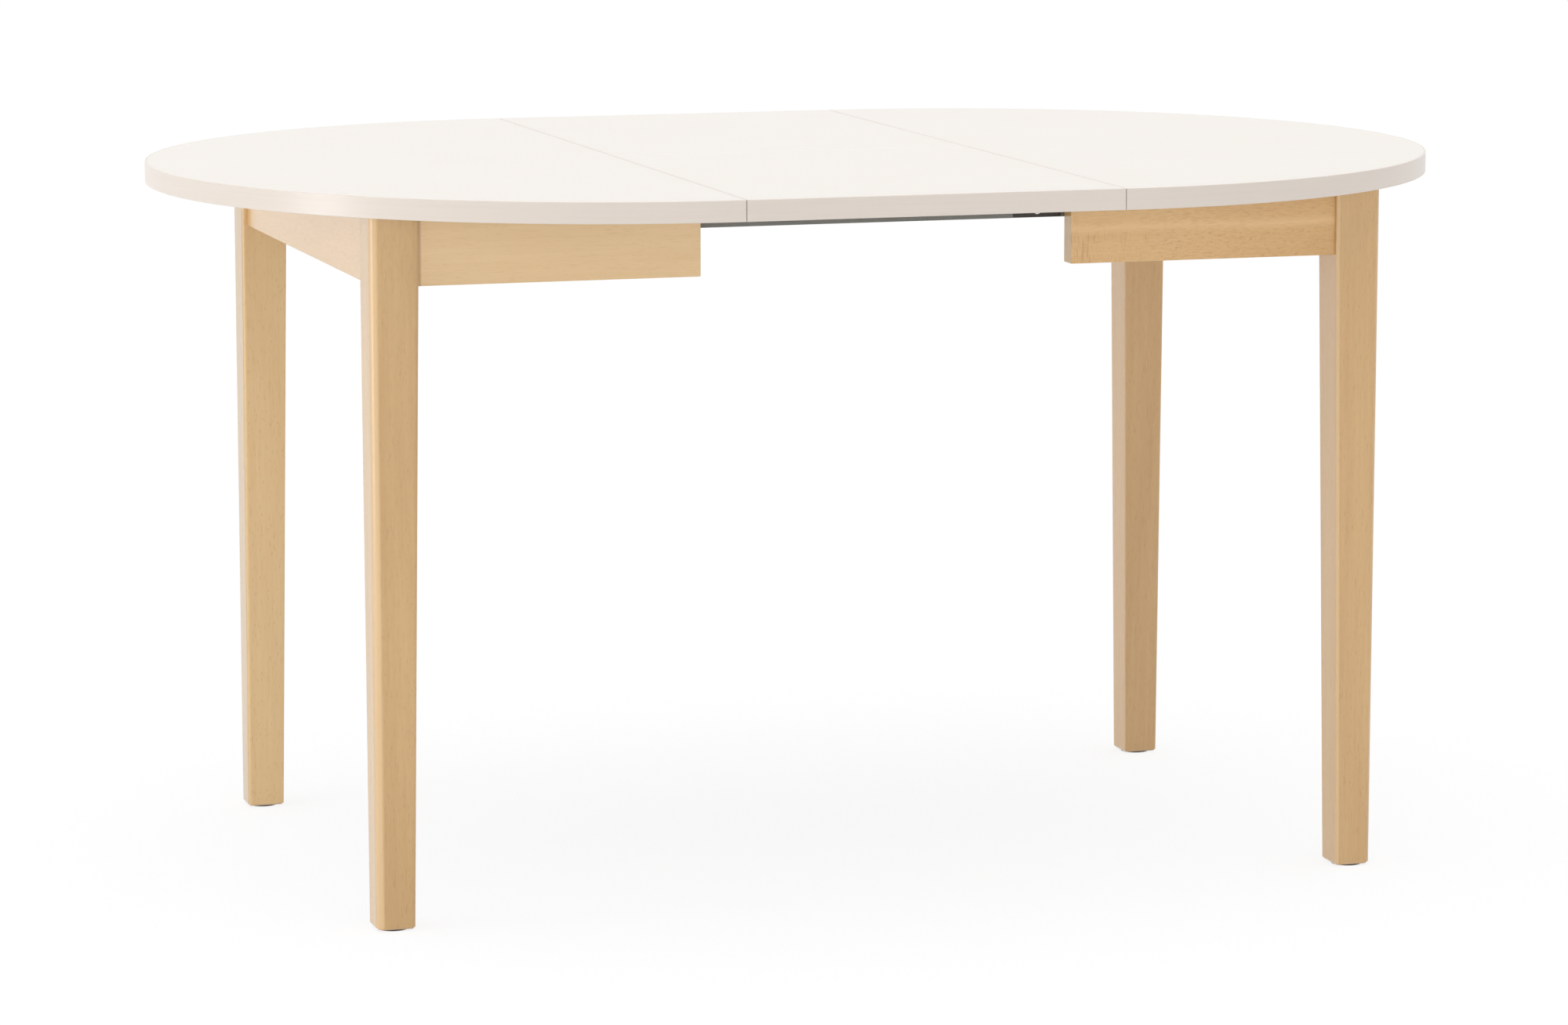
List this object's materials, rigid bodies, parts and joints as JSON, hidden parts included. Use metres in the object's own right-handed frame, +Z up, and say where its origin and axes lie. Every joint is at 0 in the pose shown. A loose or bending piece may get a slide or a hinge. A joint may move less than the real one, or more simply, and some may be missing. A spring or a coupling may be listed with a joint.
{
  "type": "butterfly leaf table",
  "caption": "Round dining table that pulls apart on slides for a folding butterfly leaf: half-disc tops on tapered beech legs, and a leaf that swings under the top on arms.",
  "frame": {"origin": "on the floor under the middle of the extended table", "axes": "+X along the table's length to its right, -Y to its front, +Z up"},
  "size_m": [1.4008, 1, 0.755],
  "materials": {
    "top_laminate": "warm off-white laminate on chipboard, matt",
    "edge_band": "off-white ABS edge band, matt",
    "beech": "clear-lacquered beech, satin",
    "inner_beech": "raw beech",
    "dark_nylon": "dark nylon",
    "rail_steel": "grey coated steel",
    "arm_steel": "black coated steel",
    "white_nylon": "white nylon",
    "brass": "drawn brass",
    "zinc_steel": "zinc-plated steel"
  },
  "bodies": {
    "carriage": {"base_plate_bolts": "zinc_steel", "base_plates": "arm_steel", "cross_bar_bolts": "zinc_steel", "cross_bars": "arm_steel", "front_rail": "rail_steel", "guide_studs": "zinc_steel", "rail_buttons": "white_nylon", "rail_shoes": "white_nylon", "rail_stops": "dark_nylon", "rear_rail": "rail_steel", "shaft_bushes": "white_nylon"},
    "left_half": {"left_channel_screws": "zinc_steel", "left_corner_blocks": "inner_beech", "left_dowels": "inner_beech", "left_edge_band": "edge_band", "left_end_apron": "beech", "left_foot_glides": "dark_nylon", "left_front_apron": "beech", "left_front_channel": "rail_steel", "left_front_leg": "beech", "left_leg_bolts": "zinc_steel", "left_leg_nuts": "zinc_steel", "left_rear_apron": "beech", "left_rear_channel": "rail_steel", "left_rear_leg": "beech", "left_top": "top_laminate", "left_top_angle_screws": "zinc_steel", "left_top_angles": "zinc_steel"},
    "right_half": {"right_channel_screws": "zinc_steel", "right_corner_blocks": "inner_beech", "right_dowels": "inner_beech", "right_edge_band": "edge_band", "right_end_apron": "beech", "right_foot_glides": "dark_nylon", "right_front_apron": "beech", "right_front_channel": "rail_steel", "right_front_leg": "beech", "right_leg_bolts": "zinc_steel", "right_leg_nuts": "zinc_steel", "right_rear_apron": "beech", "right_rear_channel": "rail_steel", "right_rear_leg": "beech", "right_top": "top_laminate", "right_top_angle_screws": "zinc_steel", "right_top_angles": "zinc_steel"},
    "leaf_arms": {"arm_shaft": "zinc_steel", "shaft_rings": "zinc_steel", "swing_arms": "arm_steel"},
    "level_arms": {"guide_arms": "arm_steel"},
    "rear_wing": {"rear_hinge_barrels": "brass", "rear_rest_pads": "white_nylon", "rear_wing_band": "edge_band", "rear_wing_board": "top_laminate", "wing_bracket_screws": "zinc_steel", "wing_brackets": "arm_steel", "wing_pivot_pins": "zinc_steel"},
    "front_wing": {"front_hinge_barrels": "brass", "front_rest_pads": "white_nylon", "front_wing_band": "edge_band", "front_wing_board": "top_laminate"}
  },
  "joints": [
    {"name": "left_slide", "type": "slide", "parent": "carriage", "child": "left_half", "axis": [-1, 0, 0], "range_m": [0, 0.03]},
    {"name": "right_slide", "type": "slide", "parent": "carriage", "child": "right_half", "axis": [1, 0, 0], "range_m": [0, 0.03]},
    {"name": "arm_swing", "type": "hinge", "parent": "carriage", "child": "leaf_arms", "pos_m": [0, 0.12522, 0.675], "axis": [1, 0, 0], "range_deg": [0, 160.3]},
    {"name": "guide_swing", "type": "hinge", "parent": "carriage", "child": "level_arms", "pos_m": [0, 0.08922, 0.675], "axis": [1, 0, 0], "range_deg": [0, 160.3]},
    {"name": "wing_level", "type": "hinge", "parent": "leaf_arms", "child": "rear_wing", "pos_m": [0, 0.246, 0.721], "axis": [1, 0, 0], "range_deg": [-160.3, 0]},
    {"name": "wing_fold", "type": "hinge", "parent": "rear_wing", "child": "front_wing", "pos_m": [0, 0, 0.7553], "axis": [-1, 0, 0], "range_deg": [0, 180]}
  ],
  "couplings": [
    {"joint": "guide_swing", "follows": "arm_swing", "ratio": 1},
    {"joint": "wing_level", "follows": "arm_swing", "ratio": -1},
    {"joint": "wing_fold", "follows": "arm_swing", "ratio": 1.1229}
  ]
}
